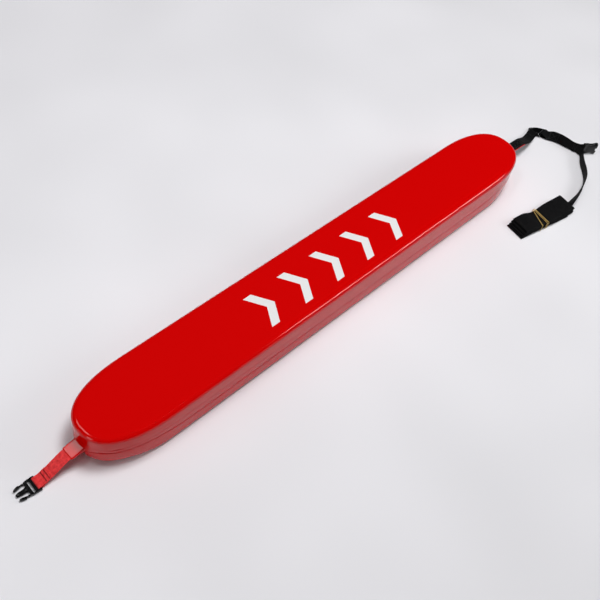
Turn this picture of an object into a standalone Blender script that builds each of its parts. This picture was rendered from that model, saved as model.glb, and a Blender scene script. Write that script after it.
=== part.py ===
"""Rescue buoy: a foam lifeguard tube with clip buckle, towline and folded shoulder strap.

Metres, +Z up. X runs along the tube, from the buckle plug (-X) to the towline (+X).
The origin is the centre of the tube's flat underside.
"""
import math

import bmesh
import bpy
from mathutils import Matrix, Vector

# Foam tube
TUBE_LENGTH = 1.270
TUBE_WIDTH = 0.162
TUBE_HEIGHT = 0.090
END_LENGTH = 0.158
END_FULLNESS = 2.4
EDGE_RADIUS = 0.0125
TIP_RIM_GROWTH = 0.016
TIP_RIM_START = 0.500
TIP_RIM_LENGTH = 0.100
SEAM_HEIGHT = 0.036
SEAM_GROOVE_DEPTH = 0.0006
SEAM_GROOVE_HALF = 0.0014
SKIN = 0.0012
GAP = 0.0003
END_STEPS = 12
EDGE_STEPS = 5

# Webbing
WEB_WIDTH = 0.025
WEB = 0.0016
PLY_GAP = 0.0004
WEB_CHAMFER = 0.0004
EYE_CLEARANCE = 0.00035

# Moulded tongues where the webbing leaves the skin: distance past the tube's end, half width, half height
TONGUE_SECTIONS = (
    (-0.022, 0.0205, 0.0130, 2.3),
    (-0.002, 0.0175, 0.0090, 2.5),
    (0.003, 0.0158, 0.0058, 3),
    (0.008, 0.0148, 0.0038, 4),
    (0.014, 0.0144, 0.0029, 5),
    (0.027, 0.0142, 0.0024, 6),
)
TONGUE_SIDES = 20

# Red tab of the core webbing that stands out of the far tongue
TAB_LENGTH = 0.062

# Clip buckle, for 25 mm webbing
BAR_RADIUS = 0.0021
TAIL_REACH = 0.0621
PLUG_BAR_Z = 0.0043
TAIL_TURN = -2.0
PLUG_HALF_WIDTH = 0.0160
SLOT_HALF_WIDTH = 0.0130
RAIL_HALF_THICKNESS = 0.0023
BEAM_START = 0.0138
BEAM_END = 0.0195
PRONG_HINGE_U = 0.0213
PRONG_HINGE_V = 0.0128
SOCKET_BAR = (0.8688, -0.1115, 0.0172)
SOCKET_HEADING = -34.0

# Quadrant ring: two straight bars at right angles, joined by a bow; the straps loop round the bars
RING_CORNER = (0.8245, -0.0030, 0.0048)
RING_BAR = 0.0345
RING_ROD = 0.0023
RING_FILLET = 0.0042
RING_BOW = 0.10
ANCHOR_ON_BAR = 0.0186
SOCKET_ON_BAR = 0.0180
EYE_SLACK = 0.0030
RING_PLATE = (0.0066, 0.0082)

# Folded shoulder strap; folds are (along, sideways) places in the bundle's own frame, from the bottom up
BUNDLE_CENTRE = (0.567, -0.190)
BUNDLE_HEADING = -8.6
SHOULDER_WIDTH = 0.050
SHOULDER_WEB = 0.0013
FOLD_LAYERS = 8
TAB_START = (0.1075, 0.0030)
NEAR_FOLDS = ((-0.0840, 0.0045), (-0.0790, 0.0040), (-0.0745, 0.0050), (-0.0690, 0.0050))
FAR_FOLDS = ((0.0710, -0.0010), (0.0900, 0.0015), (0.0960, 0.0035), (0.0935, 0.0035))
FOLD_PITCHES = ((-0.090, 0.00215), (-0.066, 0.00245), (-0.045, 0.00250), (-0.032, 0.00225), (-0.022, 0.00180),
                (0.004, 0.00178), (0.024, 0.00200), (0.050, 0.00235), (0.096, 0.00265), (0.120, 0.00265))
TAB_ROUNDING = ((0.0960, 1.0), (0.1015, 0.95), (0.1055, 0.84), (0.1075, 0.70))
RUN_PLACES = (-0.066, -0.055, -0.045, -0.036, -0.028, -0.020, -0.012, -0.004, 0.004, 0.014, 0.026, 0.045,
              0.064)
BUNDLE_FLOOR = 0.0001
BAND_LIFT = 0.0030
BAND_PLACE = -0.008
BAND_ROD = 0.00055
BAND_CROSSINGS = ((0.0070, 0.0060), (0.0040, 0.0010), (0.0010, -0.0160))

# Towline route after its sewn start: centre of the webbing and its lean, 90 degrees on edge, 0 flat
SEWN_PLACES = (0.69, 0.74, 0.80)
TOWLINE_ROUTE = (
    ((0.8583, -0.1075, 0.0140), 90),
    ((0.8575, -0.1150, 0.0138), 90),
    ((0.8520, -0.1212, 0.0136), 90),
    ((0.8440, -0.1265, 0.0134), 90),
    ((0.8340, -0.1332, 0.0134), 90),
    ((0.8235, -0.1425, 0.0134), 90),
    ((0.8120, -0.1540, 0.0134), 90),
    ((0.8000, -0.1655, 0.0134), 90),
    ((0.7860, -0.1765, 0.0134), 90),
    ((0.7700, -0.1850, 0.0134), 90),
    ((0.7520, -0.1912, 0.0133), 88),
    ((0.7340, -0.1960, 0.0132), 82),
    ((0.7180, -0.1999, 0.0128), 72),
    ((0.7039, -0.2024, 0.0122), 64),
    ((0.6910, -0.2043, 0.0117), 58),
    ((0.6790, -0.2053, 0.0114), 50),
    ((0.6682, -0.2045, 0.0080), 25),
    ((0.6592, -0.2028, 0.0040), 6),
    ((0.6463, -0.2010, 0.0027), 0),
)


def clear_scene():
    for item in list(bpy.data.objects):
        bpy.data.objects.remove(item, do_unlink=True)


def material(name, colour, roughness, metallic=0.0):
    mat = bpy.data.materials.new(name)
    mat.use_nodes = True
    shader = mat.node_tree.nodes["Principled BSDF"]
    shader.inputs["Base Color"].default_value = (*colour, 1.0)
    shader.inputs["Roughness"].default_value = roughness
    shader.inputs["Metallic"].default_value = metallic
    return mat


def link(name, mesh, mat, location=(0, 0, 0), rotation=(0, 0, 0), sharp=40):
    item = bpy.data.objects.new(name, mesh)
    bpy.context.scene.collection.objects.link(item)
    item.location = location
    item.rotation_euler = rotation
    if mat is not None:
        mesh.materials.append(mat)
    mesh.shade_smooth()
    mesh.set_sharp_from_angle(angle=math.radians(sharp))
    return item


def finish_mesh(bm, name):
    """Turns a bmesh into a mesh whose faces point outward."""
    bmesh.ops.recalc_face_normals(bm, faces=bm.faces)
    mesh = bpy.data.meshes.new(name)
    bm.to_mesh(mesh)
    bm.free()
    return mesh


def loft(rings, closed=False, name="loft"):
    """Skins rings of equal point counts; the end rings are capped unless the loft is closed."""
    bm = bmesh.new()
    loops = [[bm.verts.new(p) for p in ring] for ring in rings]
    count = len(loops[0])
    last = len(loops) if closed else len(loops) - 1
    for i in range(last):
        a, b = loops[i], loops[(i + 1) % len(loops)]
        for j in range(count):
            k = (j + 1) % count
            bm.faces.new((a[j], a[k], b[k], b[j]))
    if not closed:
        bm.faces.new(list(reversed(loops[0])))
        bm.faces.new(loops[-1])
    return finish_mesh(bm, name)


def cutter(name, mesh, location=(0, 0, 0), rotation=(0, 0, 0)):
    """A helper solid for a Boolean: hidden, and left out of the built parts."""
    item = link(name, mesh, None, location, rotation)
    item.hide_render = True
    item.display_type = "WIRE"
    return item


def boolean(item, tool, operation):
    mod = item.modifiers.new(tool.name, "BOOLEAN")
    mod.operation = operation
    mod.solver = "EXACT"
    mod.object = tool
    return mod


def bevel(item, width, segments=2, angle=30):
    mod = item.modifiers.new("edges", "BEVEL")
    mod.width = width
    mod.segments = segments
    mod.limit_method = "ANGLE"
    mod.angle_limit = math.radians(angle)
    return mod


def box_mesh(low, high, name="box"):
    """A box between two corners."""
    (x0, y0, z0), (x1, y1, z1) = low, high
    bottom = [(x0, y0, z0), (x1, y0, z0), (x1, y1, z0), (x0, y1, z0)]
    top = [(x, y, z1) for x, y, _ in bottom]
    return loft([bottom, top], name=name)


def plate_mesh(outline, low, high, name="plate"):
    """A flat outline in (u, v), made into a plate between two heights."""
    return loft([[(u, v, low) for u, v in outline], [(u, v, high) for u, v in outline]], name=name)


def rod_mesh(start, end, radius, sides=12, name="rod"):
    """A round bar between two points."""
    start, end = Vector(start), Vector(end)
    along = (end - start).normalized()
    side = along.orthogonal().normalized()
    up = along.cross(side)
    turns = [2 * math.pi * i / sides for i in range(sides)]
    ring = [side * math.cos(t) * radius + up * math.sin(t) * radius for t in turns]
    return loft([[start + p for p in ring], [end + p for p in ring]], name=name)


def superellipse(half_a, half_b, power, count):
    """Points of a superellipse in order, starting on +a."""
    points = []
    for i in range(count):
        t = 2 * math.pi * i / count
        c, s = math.cos(t), math.sin(t)
        a = half_a * math.copysign(abs(c) ** (2 / power), c)
        b = half_b * math.copysign(abs(s) ** (2 / power), s)
        points.append((a, b))
    return points


# Foam tube

def tube_outline(inset):
    """Plan of the tube: straight sides with long rounded ends, drawn in by inset."""
    half_width = TUBE_WIDTH / 2 - inset
    reach = END_LENGTH - inset
    shoulder = TUBE_LENGTH / 2 - END_LENGTH
    quarter = []
    for i in range(END_STEPS + 1):
        t = math.pi / 2 * i / END_STEPS
        x = shoulder + reach * math.cos(t) ** (2 / END_FULLNESS)
        y = half_width * math.sin(t) ** (2 / END_FULLNESS)
        quarter.append((x, y))
    quarter[-1] = (shoulder, half_width)
    left = [(-x, y) for x, y in reversed(quarter)]
    upper = quarter + left
    lower = [(x, -y) for x, y in reversed(upper[1:-1])]
    return upper + lower


def lower_rim(inset, low, radius):
    """Rings of the lower rim, from the underside up; its radius grows towards the tube's two tips."""
    outer = tube_outline(inset)
    drawn_in = tube_outline(inset + 0.001)
    rings = []
    for i in range(EDGE_STEPS, -1, -1):
        t = math.pi / 2 * i / EDGE_STEPS
        ring = []
        for (x, y), (near_x, near_y) in zip(outer, drawn_in):
            grown = radius + TIP_RIM_GROWTH * smooth((abs(x) - TIP_RIM_START) / TIP_RIM_LENGTH)
            share = grown * (1 - math.cos(t)) / 0.001
            ring.append((x + (near_x - x) * share, y + (near_y - y) * share, low + grown * (1 - math.sin(t))))
        rings.append(ring)
    return rings


def slab_rings(inset, low, high, low_radius, high_radius, groove=False):
    """Rings of a slab from bottom to top, each rim rounded by its own radius; 0 leaves it square."""
    rings = lower_rim(inset, low, low_radius) if low_radius > 0 else []
    rows = [] if low_radius > 0 else [(low, 0.0)]
    if groove:
        rows.append((SEAM_HEIGHT - SEAM_GROOVE_HALF, 0.0))
        rows.append((SEAM_HEIGHT, SEAM_GROOVE_DEPTH))
        rows.append((SEAM_HEIGHT + SEAM_GROOVE_HALF, 0.0))
    if high_radius > 0:
        for i in range(EDGE_STEPS + 1):
            t = math.pi / 2 * i / EDGE_STEPS
            rows.append((high - high_radius * (1 - math.sin(t)), high_radius * (1 - math.cos(t))))
    else:
        rows.append((high, 0.0))
    return rings + [[(x, y, z) for x, y in tube_outline(inset + extra)] for z, extra in rows]


def tongue_mesh(side):
    """Tapered vinyl tongue at one end, from inside the tube to the flat tip; side is -1 or +1."""
    rings = []
    for reach, half_width, half_height, power in TONGUE_SECTIONS:
        x = side * (TUBE_LENGTH / 2 + reach)
        points = superellipse(half_width, half_height, power, TONGUE_SIDES)
        rings.append([(x, a, SEAM_HEIGHT + b) for a, b in points])
    return loft(rings, name="tongue")


def web_channel_mesh(length):
    """Space that the core webbing runs in, a little wider and thicker than the webbing."""
    half = WEB_WIDTH / 2 + GAP
    rise = WEB / 2 + GAP
    return box_mesh((-length, -half, SEAM_HEIGHT - rise), (length, half, SEAM_HEIGHT + rise), "channel")


def make_tube(vinyl, foam, red_web):
    skin_mesh = loft(slab_rings(0.0, 0.0, TUBE_HEIGHT, EDGE_RADIUS, EDGE_RADIUS, groove=True), name="skin")
    skin = link("vinyl_skin", skin_mesh, vinyl)
    for side, label in ((-1, "near"), (1, "far")):
        boolean(skin, cutter("tongue_" + label, tongue_mesh(side)), "UNION")
    cavity = slab_rings(SKIN, SKIN, TUBE_HEIGHT - SKIN, EDGE_RADIUS - SKIN, EDGE_RADIUS - SKIN)
    boolean(skin, cutter("foam_cavity", loft(cavity, name="cavity")), "DIFFERENCE")
    channel = cutter("web_channel", web_channel_mesh(TUBE_LENGTH / 2 + 0.05))
    boolean(skin, channel, "DIFFERENCE")

    inset = SKIN + GAP
    radius = EDGE_RADIUS - inset
    upper = slab_rings(inset, SEAM_HEIGHT + GAP / 2, TUBE_HEIGHT - inset, 0, radius)
    lower = slab_rings(inset, inset, SEAM_HEIGHT - GAP / 2, radius, 0)
    for name, rings in (("upper_foam_layer", upper), ("lower_foam_layer", lower)):
        layer = link(name, loft(rings, name=name), foam)
        boolean(layer, channel, "DIFFERENCE")

    tip = TUBE_LENGTH / 2 + TONGUE_SECTIONS[-1][0]
    path = [Vector((-tip, 0, SEAM_HEIGHT)), Vector((0, 0, SEAM_HEIGHT)), Vector((tip, 0, SEAM_HEIGHT))]
    tab_end = tip + 0.002 + TAB_LENGTH
    path += [p for p in anchor_centre_line() if p.x < tab_end]
    across = [Vector((0, 1, 0))] * len(path)
    band("core_webbing", path, across, WEB_WIDTH, WEB, red_web)


# Webbing

def smooth(t):
    t = min(max(t, 0.0), 1.0)
    return t * t * (3 - 2 * t)


def catmull_rom(points, steps):
    """Smooth curve through the points, with steps spans between each pair."""
    ends = [2 * points[0] - points[1]] + list(points) + [2 * points[-1] - points[-2]]
    curve = []
    for i in range(1, len(ends) - 2):
        p0, p1, p2, p3 = ends[i - 1:i + 3]
        for j in range(steps):
            t = j / steps
            curve.append(0.5 * (2 * p1 + (p2 - p0) * t + (2 * p0 - 5 * p1 + 4 * p2 - p3) * t * t
                                + (3 * p1 - p0 - 3 * p2 + p3) * t ** 3))
    curve.append(ends[-2].copy())
    return curve


def tangents(path, closed=False):
    """Unit direction of the path at each point."""
    count = len(path)
    result = []
    for i in range(count):
        before = path[(i - 1) % count] if closed or i > 0 else path[i]
        after = path[(i + 1) % count] if closed or i < count - 1 else path[i]
        result.append((after - before).normalized())
    return result


def band(name, path, across, width, thickness, mat, closed=False, shares=None):
    """Flat webbing swept along a path; across is the direction of its width, shares narrows it."""
    half, thick = width / 2, thickness / 2
    cut = min(WEB_CHAMFER, thick * 0.6)
    section = ((half, thick - cut), (half - cut, thick), (cut - half, thick), (-half, thick - cut),
               (-half, cut - thick), (cut - half, -thick), (half - cut, -thick), (half, cut - thick))
    rings = []
    shares = shares or [1.0] * len(path)
    for centre, along, wide, share in zip(path, tangents(path, closed), across, shares):
        wide = (wide - along * wide.dot(along)).normalized()
        normal = along.cross(wide)
        rings.append([centre + wide * a * share + normal * b for a, b in section])
    return link(name, loft(rings, closed=closed, name=name), mat, sharp=50)


def ply_paths(centre_line, across, opening):
    """The two plies of a doubled strap: opening gives each ply's distance from the centre line.

    The plies lie to the two sides of the strap's normal, which is along x across.
    Returns the first ply, the second ply, and the strap's directions along and normal.
    """
    along = tangents(centre_line)
    normals = [a.cross(w - a * w.dot(a)).normalized() for a, w in zip(along, across)]
    lengths = [0.0]
    for a, b in zip(centre_line, centre_line[1:]):
        lengths.append(lengths[-1] + (b - a).length)
    offsets = [opening(s, lengths[-1]) for s in lengths]
    first = [c - n * d for c, n, d in zip(centre_line, normals, offsets)]
    second = [c + n * d for c, n, d in zip(centre_line, normals, offsets)]
    return first, second, along, normals


def eye_opening(distance, eye, reach):
    """Distance of a ply from the centre line, this far from an eye of this radius."""
    shut = (WEB + PLY_GAP) / 2
    return shut + (eye - shut) * smooth(1 - distance / reach)


def eye_turn(centre, along, normal, radius, steps=9):
    """Half circle round a bar, from the first ply to the second."""
    points = []
    for i in range(1, steps):
        t = math.pi * i / steps
        points.append(centre - normal * math.cos(t) * radius + along * math.sin(t) * radius)
    return points


def tail_hinge():
    """Where the tail bends as it leaves the near tongue."""
    tip = TUBE_LENGTH / 2 + TONGUE_SECTIONS[-1][0]
    return Vector((-tip - WEB / 2 - 0.0009, 0, SEAM_HEIGHT))


def on_tail(along, across, up):
    """A place given along, across and above the tail's line on the floor, in metres."""
    turn = math.radians(TAIL_TURN)
    hinge = tail_hinge()
    x = hinge.x - along * math.cos(turn) + across * math.sin(turn)
    y = hinge.y - along * math.sin(turn) - across * math.cos(turn)
    return Vector((x, y, up))


def make_tail(red_web):
    """Red tail: one ply out to the plug's bar, round it, and folded back on top."""
    handles = ((0, SEAM_HEIGHT), (0.022, SEAM_HEIGHT - 0.0075), (TAIL_REACH - 0.020, PLUG_BAR_Z + 0.0058),
               (TAIL_REACH, PLUG_BAR_Z))
    centre_line = []
    steps = 24
    for i in range(steps + 1):
        t = i / steps
        weights = ((1 - t) ** 3, 3 * t * (1 - t) ** 2, 3 * t * t * (1 - t), t ** 3)
        along = sum(w * h[0] for w, h in zip(weights, handles))
        up = sum(w * h[1] for w, h in zip(weights, handles))
        centre_line.append(on_tail(along, 0, up))
    wide = on_tail(0, -1, 0) - on_tail(0, 0, 0)
    across = [-wide] * len(centre_line)
    eye = BAR_RADIUS + EYE_CLEARANCE + WEB / 2
    lower, upper, along, normals = ply_paths(centre_line, across,
                                             lambda s, total: eye_opening(total - s, eye, 0.012))
    # the lower ply starts on the hinge line and eases down under the folded end
    ease = 7
    for i in range(ease):
        t = smooth(i / ease)
        lower[i] = centre_line[i] * (1 - t) + lower[i] * t
    turn = eye_turn(centre_line[-1], along[-1], normals[-1], eye)
    folded_end = 14
    path = lower + turn + list(reversed(upper[folded_end:]))
    return band("tail_webbing", path, [wide] * len(path), WEB_WIDTH, WEB, red_web)


def anchor_start():
    return TUBE_LENGTH / 2 + TONGUE_SECTIONS[-1][0] + 0.002


def anchor_bar():
    """Middle of the ring's bar that the anchor strap loops round."""
    return Vector((RING_CORNER[0], RING_CORNER[1] + ANCHOR_ON_BAR, RING_CORNER[2]))


def anchor_centre_line():
    """Middle of the anchor strap, from the far tongue down to the ring's bar."""
    bar = anchor_bar()
    start = anchor_start()
    knots = [
        Vector((start, 0, SEAM_HEIGHT)),
        Vector((start + 0.024, -0.0002, SEAM_HEIGHT)),
        Vector((start + 0.048, -0.0005, 0.0358)),
        Vector((start + 0.066, -0.0002, 0.0325)),
        Vector((start + 0.088, 0.0012, 0.0235)),
        Vector((start + 0.110, 0.0050, 0.0135)),
        Vector((start + 0.132, 0.0102, 0.0072)),
        Vector((bar.x - 0.010, bar.y - 0.0010, 0.0052)),
        bar,
    ]
    return catmull_rom(knots, 3)


def make_anchor(black_web):
    """Black anchor strap: two plies that hold the red tab between them and loop round the ring."""
    centre_line = anchor_centre_line()
    across = [Vector((0, 1, 0))] * len(centre_line)
    eye = RING_ROD + EYE_CLEARANCE + WEB / 2
    tab_half = WEB + GAP
    bar = anchor_bar()

    def opening(s, total):
        over_tab = eye_opening(max(0.0, s - TAB_LENGTH - 0.002), tab_half, 0.010)
        return max(over_tab, eye_opening(total - s, eye, 0.012))

    lower, upper, along, normals = ply_paths(centre_line, across, opening)
    turn = eye_turn(bar, along[-1], normals[-1], eye)
    path = lower + turn + list(reversed(upper))
    return band("anchor_strap", path, [Vector((0, 1, 0))] * len(path), WEB_WIDTH, WEB, black_web)


def leaning_across(path, leans):
    """Direction of the webbing's width: level at 0 degrees, upright at 90."""
    across = []
    for along, lean in zip(tangents(path), leans):
        level = Vector((0, 0, 1)).cross(along).normalized()
        angle = math.radians(min(max(lean, 0), 90))
        across.append(level * math.cos(angle) + Vector((0, 0, 1)) * math.sin(angle))
    return across


def make_socket_strap(black_web):
    """Black socket strap: an endless loop of webbing, flat at the ring and on edge at the socket."""
    rail = Vector((RING_CORNER[0] + SOCKET_ON_BAR, RING_CORNER[1], RING_CORNER[2] + EYE_SLACK / 2))
    bar = Vector(SOCKET_BAR)
    knots = [
        (rail, 0),
        (Vector((0.8427, -0.0120, 0.0076)), 4),
        (Vector((0.8460, -0.0215, 0.0090)), 24),
        (Vector((0.8510, -0.0330, 0.0112)), 46),
        (Vector((0.8545, -0.0500, 0.0128)), 60),
        (Vector((0.8558, -0.0680, 0.0135)), 74),
        (Vector((0.8572, -0.0850, 0.0140)), 86),
        (Vector((0.8600, -0.0955, 0.0150)), 90),
        (Vector((0.8640, -0.1050, 0.0163)), 90),
        (bar, 90),
    ]
    steps = 3
    centre_line = catmull_rom([p for p, _ in knots], steps)
    leans = [v.x for v in catmull_rom([Vector((lean, 0, 0)) for _, lean in knots], steps)]
    across = leaning_across(centre_line, leans)
    ring_eye = RING_ROD + EYE_CLEARANCE + WEB / 2 + EYE_SLACK / 2
    bar_eye = BAR_RADIUS + EYE_CLEARANCE + WEB / 2

    def opening(s, total):
        return max(eye_opening(s, ring_eye, 0.020), eye_opening(total - s, bar_eye, 0.012))

    first, second, along, normals = ply_paths(centre_line, across, opening)
    far_turn = eye_turn(bar, along[-1], normals[-1], bar_eye)
    near_turn = eye_turn(rail, -along[0], -normals[0], ring_eye)
    path = first + far_turn + list(reversed(second)) + near_turn
    wide = across + [across[-1]] * len(far_turn) + list(reversed(across)) + [across[0]] * len(near_turn)
    band("socket_strap", path, wide, WEB_WIDTH, WEB, black_web, closed=True)
    return centre_line, normals, leans


def ring_path():
    """Centre line of the ring's rod, from the corner where its two bars meet."""
    r, bar = RING_FILLET, RING_BAR
    points = []

    def corner(cx, cy, first, last, steps=4):
        for i in range(steps + 1):
            t = math.radians(first + (last - first) * i / steps)
            points.append(Vector((cx + r * math.cos(t), cy + r * math.sin(t), 0)))

    corner(r, r, 270, 180)
    corner(r, bar - r, 180, 90)
    for degrees in (70, 58, 45, 32, 20):
        t = math.radians(degrees)
        reach = bar * (1 - RING_BOW * math.sin(2 * t))
        points.append(Vector((reach * math.cos(t), reach * math.sin(t), 0)))
    corner(bar - r, r, 0, -90)
    return points


def make_ring(plastic):
    """Moulded ring: two round bars and a bow, with a thin plate between the bow and the two slots."""
    path = ring_path()
    sides = 10
    up = Vector((0, 0, 1))
    rings = []
    for centre, along in zip(path, tangents(path, closed=True)):
        outward = along.cross(up)
        turns = [2 * math.pi * i / sides for i in range(sides)]
        rings.append([centre + outward * math.cos(t) * RING_ROD + up * math.sin(t) * RING_ROD for t in turns])
    pivot = bpy.data.objects.new("ring_pivot", None)
    bpy.context.scene.collection.objects.link(pivot)
    pivot.location = RING_CORNER
    ring = link("strap_ring", loft(rings, closed=True, name="ring"), plastic)
    ring.parent = pivot
    low, high = RING_PLATE
    bow = [p for p in path if p.x > low - 0.002 and p.y > high - 0.002 and p.x + p.y > RING_BAR]
    outline = [(low, high + 0.006), (low, bow[0].y)] + [(p.x, p.y) for p in bow]
    outline += [(bow[-1].x, high), (low + 0.006, high)]
    plate = cutter("ring_plate", plate_mesh(outline, -0.0014, 0.0014))
    plate.parent = pivot
    boolean(ring, plate, "UNION")
    return ring


# Clip buckle

def make_plug(plastic):
    """Male half of the clip buckle: bars and rails, a thick cross beam and the centre guide."""
    place = on_tail(TAIL_REACH, 0, PLUG_BAR_Z)
    turn = (0, 0, math.pi + math.radians(TAIL_TURN))
    inner, outer = SLOT_HALF_WIDTH, PLUG_HALF_WIDTH
    thin = RAIL_HALF_THICKNESS
    start, end, beam_half = BEAM_START, BEAM_END, 0.0030
    outline = [(-0.0010, -outer), (start, 0.0004 - outer), (end, 0.0018 - outer), (end, outer - 0.0018),
               (start, outer - 0.0004), (-0.0010, outer), (-0.0021, outer - 0.0016),
               (-0.0021, 0.0016 - outer)]
    plug = link("buckle_plug", plate_mesh(outline, -thin, thin, "plug"), plastic, place, turn)
    hole = [(-0.0060, -inner), (0.0045, -inner), (0.0045, inner), (-0.0060, inner)]
    boolean(plug, cutter("plug_web_slot", plate_mesh(hole, -0.01, 0.01), place, turn), "DIFFERENCE")
    hole = [(0.0094, -inner), (start, -inner), (start, inner), (0.0094, inner)]
    boolean(plug, cutter("plug_free_slot", plate_mesh(hole, -0.01, 0.01), place, turn), "DIFFERENCE")
    bar = rod_mesh((0, -inner - 0.0012, 0), (0, inner + 0.0012, 0), BAR_RADIUS, 12)
    boolean(plug, cutter("plug_outer_bar", bar, place, turn), "UNION")
    beam_outline = [(start, -0.0136), (end, -0.0136), (end, 0.0136), (start, 0.0136)]
    beam = plate_mesh(beam_outline, -beam_half, beam_half)
    boolean(plug, cutter("plug_beam", beam, place, turn), "UNION")
    guide = [[(end - 0.002, v, w) for v, w in superellipse(0.0060, 0.0026, 4, 16)],
             [(end + 0.0035, v, w) for v, w in superellipse(0.0046, 0.0025, 4, 16)],
             [(0.0355, v, w) for v, w in superellipse(0.0040, 0.0023, 4, 16)],
             [(0.0392, v, w) for v, w in superellipse(0.0033, 0.0017, 3, 16)],
             [(0.0406, v, w) for v, w in superellipse(0.0020, 0.0009, 2, 16)]]
    boolean(plug, cutter("plug_guide", loft(guide), place, turn), "UNION")
    groove = [(0.0225, -0.0020), (0.0350, -0.0016), (0.0350, 0.0016), (0.0225, 0.0020)]
    boolean(plug, cutter("guide_groove_top", plate_mesh(groove, 0.0014, 0.01), place, turn), "DIFFERENCE")
    boolean(plug, cutter("guide_groove_under", plate_mesh(groove, -0.01, -0.0014), place, turn), "DIFFERENCE")
    return plug


def prong_outline():
    """Plan of one prong from its hinge line: round root, thin arm, barb with its shoulder, blunt tip."""
    root = 0.0014
    points = []
    for i in range(7):
        t = math.pi / 2 + math.pi * i / 6
        points.append((root * math.cos(t), root * math.sin(t)))
    inner = [(0.0040, -0.0014), (0.0062, -0.0020), (0.0100, -0.0030), (0.0150, -0.0040)]
    nose = [(0.0175, -0.0041), (0.0188, -0.0034), (0.0190, -0.0022)]
    barb = [(0.0178, -0.0006), (0.0145, 0.0008), (0.0100, 0.0018), (0.0074, 0.0021), (0.0064, 0.0017)]
    arm = [(0.0060, 0.0006), (0.0030, 0.0011)]
    return points + inner + nose + barb + arm


def make_prongs(plastic):
    """The two sprung prongs, each hinged where its root meets the cross beam."""
    for label, side in (("left", -1), ("right", 1)):
        pivot = bpy.data.objects.new("prong_pivot_" + label, None)
        bpy.context.scene.collection.objects.link(pivot)
        pivot.location = on_tail(TAIL_REACH + PRONG_HINGE_U, side * PRONG_HINGE_V, PLUG_BAR_Z)
        pivot.rotation_euler = (0, 0, math.pi + math.radians(TAIL_TURN))
        outline = [(u, side * v) for u, v in prong_outline()]
        if side < 0:
            outline.reverse()
        prong = link("release_prong_" + label, plate_mesh(outline, -0.0025, 0.0025, "prong"), plastic)
        prong.parent = pivot
        bevel(prong, 0.0005, 2)


def make_socket(plastic):
    """Female half of the clip buckle, standing on its edge: web bar, rails and the hollow body."""
    heading = math.radians(SOCKET_HEADING)
    basis = Matrix.Rotation(heading, 4, "Z") @ Matrix.Rotation(math.pi / 2, 4, "X")
    turn = basis.to_euler()
    inner = 0.0134
    sections = ((0.0085, 0.0164, 0.0044, 4.0), (0.0120, 0.0160, 0.0054, 3.6), (0.0160, 0.0150, 0.0060, 3.2),
                (0.0205, 0.0146, 0.0062, 3.0), (0.0250, 0.0150, 0.0062, 3.0), (0.0300, 0.0163, 0.0062, 3.2),
                (0.0345, 0.0170, 0.0062, 3.4), (0.0368, 0.0171, 0.0061, 3.4), (0.0374, 0.0167, 0.0057, 3.4))
    rings = [[(u, v, w) for v, w in superellipse(a, b, p, 28)] for u, a, b, p in sections]
    socket = link("buckle_socket", loft(rings, name="socket"), plastic, SOCKET_BAR, turn)
    for side in (-1, 1):
        low, high = sorted((side * inner, side * 0.0168))
        rail = plate_mesh([(-0.0021, low), (0.0105, low), (0.0105, high), (-0.0021, high)],
                          -RAIL_HALF_THICKNESS, RAIL_HALF_THICKNESS)
        boolean(socket, cutter("socket_rail_%d" % side, rail, SOCKET_BAR, turn), "UNION")
    bar = rod_mesh((0, -inner - 0.0015, 0), (0, inner + 0.0015, 0), BAR_RADIUS, 12)
    boolean(socket, cutter("socket_bar", bar, SOCKET_BAR, turn), "UNION")
    hollow = [[(0.0120, v, w) for v, w in superellipse(0.0132, 0.0033, 6, 24)],
              [(0.0300, v, w) for v, w in superellipse(0.0138, 0.0036, 6, 24)],
              [(0.0390, v, w) for v, w in superellipse(0.0146, 0.0042, 6, 24)]]
    boolean(socket, cutter("socket_hollow", loft(hollow), SOCKET_BAR, turn), "DIFFERENCE")
    for side in (-1, 1):
        low, high = sorted((side * 0.0112, side * 0.0200))
        window = [(0.0142, low), (0.0305, low), (0.0305, high), (0.0142, high)]
        tool = cutter("socket_window_%d" % side, plate_mesh(window, -0.0032, 0.0032), SOCKET_BAR, turn)
        boolean(socket, tool, "DIFFERENCE")
    notch = [(0.0330, -0.0036), (0.0400, -0.0058), (0.0400, 0.0058), (0.0330, 0.0036)]
    boolean(socket, cutter("socket_notch", plate_mesh(notch, -0.01, 0.01), SOCKET_BAR, turn), "DIFFERENCE")
    return socket


# Towline and folded shoulder strap

def make_towline(black_web, strap_line, strap_normals, strap_leans):
    """25 mm towline: sewn along the socket strap, then free over the floor to the folded strap."""
    offset = WEB + PLY_GAP / 2 + GAP + WEB / 2
    knots = []
    for place in SEWN_PLACES:
        i = round(place * (len(strap_line) - 1))
        knots.append((strap_line[i] + strap_normals[i] * offset, strap_leans[i]))
    knots += [(Vector(p), lean) for p, lean in TOWLINE_ROUTE]
    path = catmull_rom([p for p, _ in knots], 2)
    leans = [v.x for v in catmull_rom([Vector((lean, 0, 0)) for _, lean in knots], 2)]
    length = sum((b - a).length for a, b in zip(path, path[1:]))
    print("towline length %.4f m" % length)
    return band("towline", path, leaning_across(path, leans), WEB_WIDTH, WEB, black_web)


def table_value(table, place):
    """Straight-line reading of a table of (place, value) pairs."""
    if place <= table[0][0]:
        return table[0][1]
    for (p0, v0), (p1, v1) in zip(table, table[1:]):
        if place <= p1:
            return v0 + (v1 - v0) * (place - p0) / (p1 - p0)
    return table[-1][1]


def band_lift(a):
    """Rise of the folded layers where the elastic band passes under them."""
    middle = BAND_PLACE - 0.006
    return BAND_LIFT * (1 - smooth((abs(a - middle) - 0.020) / 0.045))


def layer_height(layer, a):
    """Height of a layer's middle; the stack is pressed together at the elastic band."""
    return BUNDLE_FLOOR + SHOULDER_WEB / 2 + layer * table_value(FOLD_PITCHES, a) + band_lift(a)


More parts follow.
